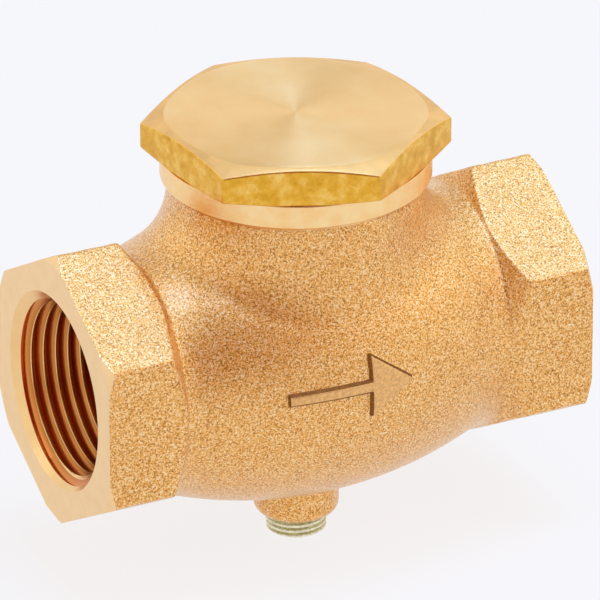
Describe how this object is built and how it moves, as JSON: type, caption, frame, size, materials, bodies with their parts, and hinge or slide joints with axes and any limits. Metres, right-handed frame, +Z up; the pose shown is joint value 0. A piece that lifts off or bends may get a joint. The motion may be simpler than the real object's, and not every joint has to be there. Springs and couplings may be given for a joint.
{
  "type": "lift check valve",
  "caption": "Cast brass lift check valve with female hexagonal pipe ends, a hexagonal screw cap, a sprung soft-seated poppet and a plugged port under the body.",
  "frame": {"origin": "on the axis of the run, where the inlet's thread starts at the bottom of its countersink", "axes": "+X along the run in the direction of flow, from inlet to outlet, and +Z up through the screw cap, the way the poppet lifts"},
  "size_m": [0.0888, 0.052, 0.0765],
  "materials": {
    "cast_brass": "sand cast, grainy, with turned faces at the ends and the collar",
    "turned_brass": "turned, with fine concentric marks",
    "poppet_brass": "turned",
    "fibre": "pressed fibre, matte",
    "ptfe": "smooth and waxy",
    "spring_steel": "drawn stainless wire",
    "zinc_steel": "zinc plated"
  },
  "bodies": {
    "root": {"valve_body": "cast_brass", "bonnet_cap": "turned_brass", "cap_gasket": "fibre", "return_spring": "spring_steel", "port_plug": "zinc_steel"},
    "poppet": {"disc_holder": "poppet_brass", "seat_disc": "ptfe", "disc_washer": "poppet_brass", "disc_nut": "poppet_brass"}
  },
  "joints": [
    {"name": "poppet_lift", "type": "slide", "parent": "root", "child": "poppet", "axis": [0, 0, 1], "range_m": [0, 0.0065], "stiffness_N_per_m": 150, "springref_m": -0.0087, "deforming": ["return_spring"]}
  ]
}
